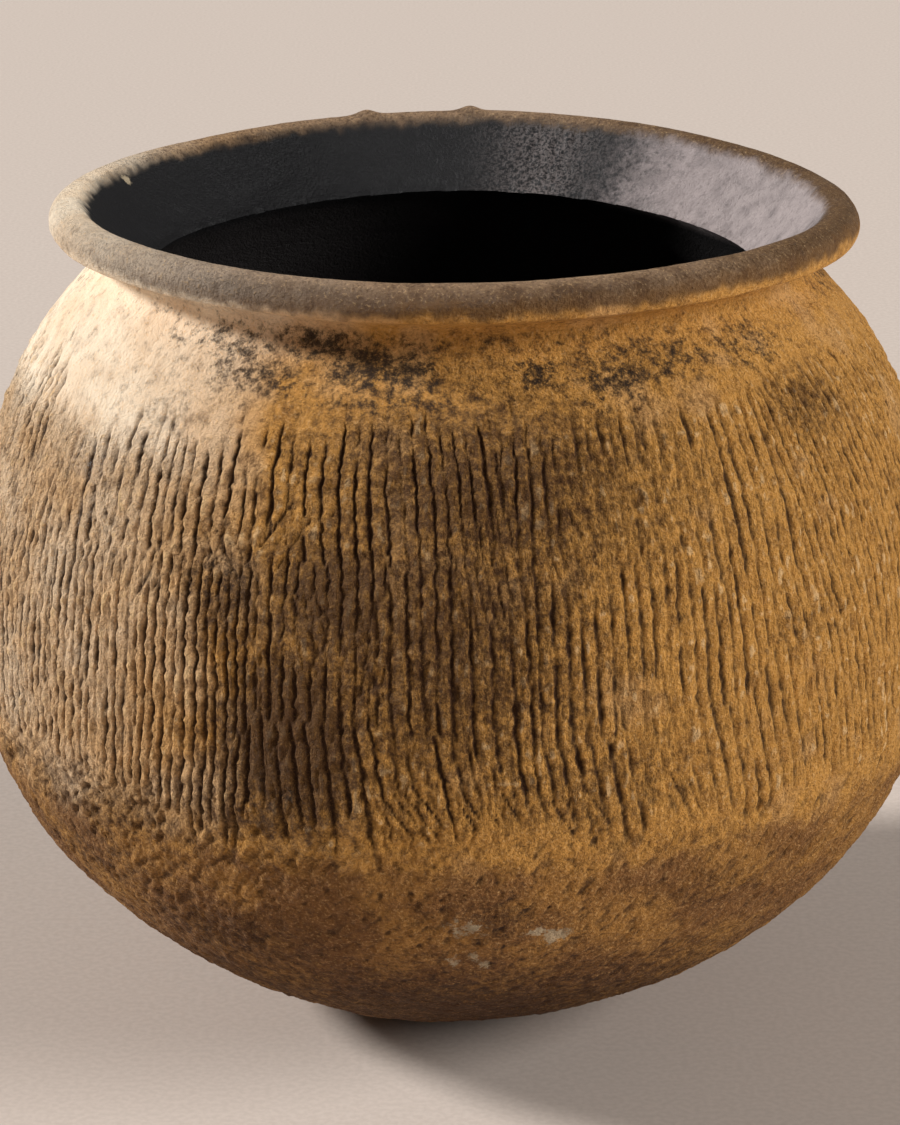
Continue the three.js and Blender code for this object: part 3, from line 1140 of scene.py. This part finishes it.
class Clay(Recipe):
    """A recipe with the noises and maps that more than one layer of the clay reads."""

    def __init__(self, name):
        super().__init__(name)
        self.mottle = self.noise(mottle_size, 3, 0.55)
        self.cloudy = self.noise(6, 3, 0.6)
        self.flakes = self.noise(3, 7, 0.78)
        self.pebbly = self.noise(2.1, 4, 0.6)
        self.fine = self.noise(grain_size, 3, 0.7)
        self.streaks = self.noise(1.2, 3, 0.6, self.scaled((1, 1, 0.14), self.space))
        specks = self.ramp(self.fine, 0.52, 0.66, 0, 0.4)
        self.pitted = self.plus(specks, self.ramp(self.pebbly, 0.53, 0.66, 0, 0.3))
        self.belly, self.smooth = self.map("belly"), self.map("smooth")
        self.rim_top, self.throat = self.map("rim_top"), self.map("throat")

    def flaky(self, label, less, more, low=0.3, high=0.7):
        """A map whose border is broken up into flakes."""
        return self.plus(self.map(label), self.ramp(self.flakes, low, high, less, more))


print("the clay is mottled over", mottle_size, "mm and its grain is", grain_size, "mm")


# %% Bare clay, soil and stains
def bare_clay(clay):
    """Ochre, with painted light making it paler on the key lamp's side, browner on the scraped bowl and
    in soft clouds.
    """
    tone = clay.map("tone")
    # painted light: the clay is paler on the key lamp's side
    paler = clay.plus(tone, clay.ramp(clay.mottle, 0.3, 0.7, -0.22, 0.1), True)
    scraped = clay.ramp(clay.mottle, 0.36, 0.6, 0.45, 0.95)
    clouded = clay.ramp(clay.cloudy, 0.44, 0.75, 0, 0.5)
    return clay.cover(
        clay.mix(paler, ochre, lamp_lit_beige),
        (clay.times(clay.map("scraped"), scraped), bowl_brown),
        (clay.times(clouded, clay.ramp(tone, 0, 1, 1, 0.5)), bowl_brown),
    )


def soiled(clay, colour):
    """Dirt and painted shade in streaks, pits and cord marks, and paler ridges, partly rubbed and
    partly a painted highlight.
    """
    lamp_lit_sides, hollow = clay.map("lamp_lit_sides"), clay.map("hollow")
    # painted light: less dirt and painted shade on the sides that face the lamps
    clinging = clay.minus(clay.ramp(lamp_lit_sides, 0, 1, 1, 0.35), clay.smooth, True)
    streaked = clay.times(clay.belly, clay.ramp(clay.streaks, 0.5, 0.68, 0, 0.5))
    # painted shade with dirt, in the hollows
    hollow_shade_and_dirt = clay.times(clay.ramp(hollow, 0.12, 0.8, 0, 0.9), clay.ramp(lamp_lit_sides, 0, 1, 1, 0.7))
    return clay.cover(
        colour,
        (clay.times(streaked, clinging), dirt_and_hollow_shade),
        (clay.times(clay.pitted, clinging), dirt_and_hollow_shade),
        (clay.ramp(clay.fine, 0.47, 0.3, 0, 0.4), wear_and_highlight),
        # painted highlight with wear: the crests are lighter
        (clay.ramp(hollow, -0.05, -0.5, 0, 0.62), wear_and_highlight),
        (hollow_shade_and_dirt, dirt_and_hollow_shade),
        # painted shade with dirt: the deep grooves of the belly are darker
        (clay.times(clay.ramp(hollow, 0.45, 1, 0, 0.85), clay.belly), dirt_and_hollow_shade),
    )


def stained_and_shaded(clay, colour):
    """The brown of stains and painted shade, soot and painted shade in flakes, and specks of ochre that
    show through them, partly grains and partly painted glints.
    """
    return clay.cover(
        colour,
        (clay.ramp(clay.flaky("stain_and_shade", -0.4, 0.4), 0.05, 1.1, 0, 0.86), stain_and_shade_brown),
        (clay.ramp(clay.flaky("soot_and_shade", -0.5, 0.5), 0.25, 1, 0, 0.9), soot_and_shade_black),
        # ochre specks: grains of the clay and painted glints on them
        (clay.ramp(clay.fine, 0.46, 0.3, 0, 0.2), ochre),
    )


body_layers = soiled, stained_and_shaded
print("over the bare clay:", [layer.__name__ for layer in body_layers])


# %% The rim, the mouth and the lime
def rimmed(clay, colour):
    """The rubbed, speckled grey on top of the rim, with a thin brown line along its border, left off at
    the rim's left end, where a painted highlight keeps the clay pale.
    """
    browned = clay.plus(clay.ramp(clay.cloudy, 0.4, 0.8, 0, 0.6), clay.map("rim_brown"), True)
    speckled = clay.cover(
        clay.mix(browned, rim_grey, rim_brown),
        (clay.ramp(clay.fine, 0.5, 0.68, 0, 0.7), stain_and_shade_brown),
        (clay.ramp(clay.fine, 0.45, 0.3, 0, 0.3), wear_and_highlight),
    )
    # painted highlight: less grey at the rim's left end
    greyed = clay.times(clay.rim_top, clay.minus(0.88, clay.map("rim_lit_end")))
    border = clay.times(greyed, clay.minus(1, clay.rim_top))
    return clay.cover(colour, (greyed, speckled), (clay.times(border, 3, True), stain_and_shade_brown))


def mouth_soot_and_shade(clay, colour):
    """Mauve ash where the key lamp lights the slope inside the rim, painted shade with soot on the rest
    of it, the rough deposit, and the inside darkened with soot and painted shade.
    """
    slope = clay.cover(
        clay.mix(clay.ramp(clay.flaky("slope_lamp_side", -0.3, 0.2), 0.1, 1), throat_shade_and_soot, throat_mauve),
        (clay.ramp(clay.pebbly, 0.5, 0.7, 0, 0.22), throat_shade_and_soot),
        (clay.ramp(clay.cloudy, 0.4, 0.75, 0, 0.4), throat_shade_and_soot),
    )
    crust = clay.times(clay.map("crust"), clay.ramp(clay.fine, 0.4, 0.6, 0, 0.5))
    return clay.cover(
        colour, (clay.throat, slope), (crust, crust_grey), (clay.map("dark"), inside_black)
    )


def limed(clay, colour):
    """A few pale spots of lime."""
    lime = clay.flaky("lime", -0.35, 0.3, 0.35, 0.65)
    return clay.mix(clay.ramp(lime, 0.35, 0.7, 0, 0.7), colour, lime_white)


top_layers = rimmed, mouth_soot_and_shade, limed
print("over the body:", [layer.__name__ for layer in top_layers])


# %% Gloss, grain and the four finishes
def gloss(clay, roughness):
    """Roughness in soft clouds, lower on the rubbed place and on top of the rim."""
    rough = clay.ramp(clay.cloudy, 0.3, 0.7, roughness - 0.06, roughness + 0.06)
    rough = clay.minus(rough, clay.ramp(clay.map("polish"), 0.2, 0.9, 0, 0.6))
    return clay.minus(rough, clay.times(clay.rim_top, 0.18))


def sandy(clay):
    """The height of the grain. It is turned over, so the dark specks and streaks lie in hollows."""
    height = clay.plus(clay.times(clay.fine, 1.5), clay.times(clay.pebbly, 0.9))
    height = clay.plus(height, clay.times(clay.pitted, 0.45))
    height = clay.plus(height, clay.times(clay.streaks, clay.belly))
    height = clay.times(height, clay.ramp(clay.throat, 0, 1, -1, -0.6))
    return clay.times(height, clay.ramp(clay.smooth, 0, 1, 1, 0.3))


def fired_clay(name, grain, roughness):
    """Fired clay with the jar's colours. Grain is the height of its sand in millimetres."""
    clay = Clay(name)
    colour = bare_clay(clay)
    for layer in (*body_layers, *top_layers):
        colour = layer(clay, colour)
    clay.surface({
        "Base Color": colour,
        "Roughness": gloss(clay, roughness),
        "Normal": clay.bump(sandy(clay), grain),
        "Diffuse Roughness": 0.6,
        "Specular IOR Level": 0.3,
    })
    return clay.material


finishes = {
    "bowl_clay": (fired_clay("scraped_bowl_clay", 1.0, 0.88), coil_names[:3]),
    "cord_marked_clay": (fired_clay("cord_marked_clay", 0.95, 0.88), coil_names[3:6]),
    "neck_clay": (fired_clay("wiped_neck_clay", 0.9, 0.88), coil_names[6:7]),
    "rim_clay": (fired_clay("rubbed_rim_clay", 0.55, 0.8), coil_names[7:]),
}
print("finishes:", sorted(finishes))

# %% [markdown]
# ## Handing the coils to the frame
# Every coil rides on the one body that the jar has, stands for the solid of the same name, which is
# hidden, and takes the material of its finish.

# %% Handing the coils to the frame
for finish, (material, names) in finishes.items():
    for name in names:
        coil = coils[name]
        coil.data.materials.append(material)
        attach(coil, "root")
        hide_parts(name)
print(len(coils), "coils ride on the jar's body")

# %% [markdown]
# ## Floor and light
# A plain pale floor keeps the eye on the jar. Far away it turns to the grey of the sky, so that no
# hard horizon shows. One lamp shines from the left and a little behind, as in the photograph, and
# rakes across every groove. A softer one from the right front opens the other side, and the sky
# fills the rest. Both lamps are far off, so that their light is even everywhere, at a level where a
# colour looks as it was written.

# %% The floor
floor_half = 30.0  # metres
fade_from, fade_to = 3000, 22000  # from the jar
floor_mesh = bpy.data.meshes.new("floor")
bm = bmesh.new()
bmesh.ops.create_grid(bm, x_segments=2, y_segments=2, size=floor_half)
bm.to_mesh(floor_mesh)
bm.free()
paint = Recipe("pale_floor")
grain = paint.ramp(paint.noise(2.0, 3, 0.5), 0.3, 0.7)
plain = paint.mix(grain, srgb(182, 168, 157), srgb(190, 176, 165))
distance = paint.add("VectorMath")
distance.operation = "LENGTH"
paint.fill(distance, {0: paint.space})
far = paint.ramp(distance.outputs["Value"], fade_from, fade_to)
paint.surface({"Base Color": paint.mix(far, plain, srgb(102, 101, 100)), "Roughness": 0.9})
floor_mesh.materials.append(paint.material)
placed("floor", floor_mesh)
print("the floor reaches", floor_half, "m each way")


# %% The lamps and the sky
def far_lamp(name, place, spread, strength):
    """A lamp that shines from the direction of a place. Spread is how wide it looks, in degrees."""
    light = bpy.data.lights.new(name, "SUN")
    light.angle = math.radians(spread)
    light.energy = strength
    holder = placed(name, light)
    holder.location = place
    holder.rotation_euler = (-Vector(place)).to_track_quat("-Z", "Y").to_euler()


far_lamp("key_lamp", (-3.4, 0.25, 1.88), 10, 4.7)
far_lamp("side_lamp", (3.4, -1.5, 1.8), 27, 3.0)
sky = bpy.data.worlds.new("sky")
sky.use_nodes = True
sky.node_tree.nodes["Background"].inputs["Color"].default_value = (1.0, 0.99, 0.97, 1)
sky.node_tree.nodes["Background"].inputs["Strength"].default_value = 0.17
bpy.context.scene.world = sky
bpy.context.scene.view_settings.view_transform = "Standard"

# %% [markdown] The visible jar must stay inside the box of its solids.
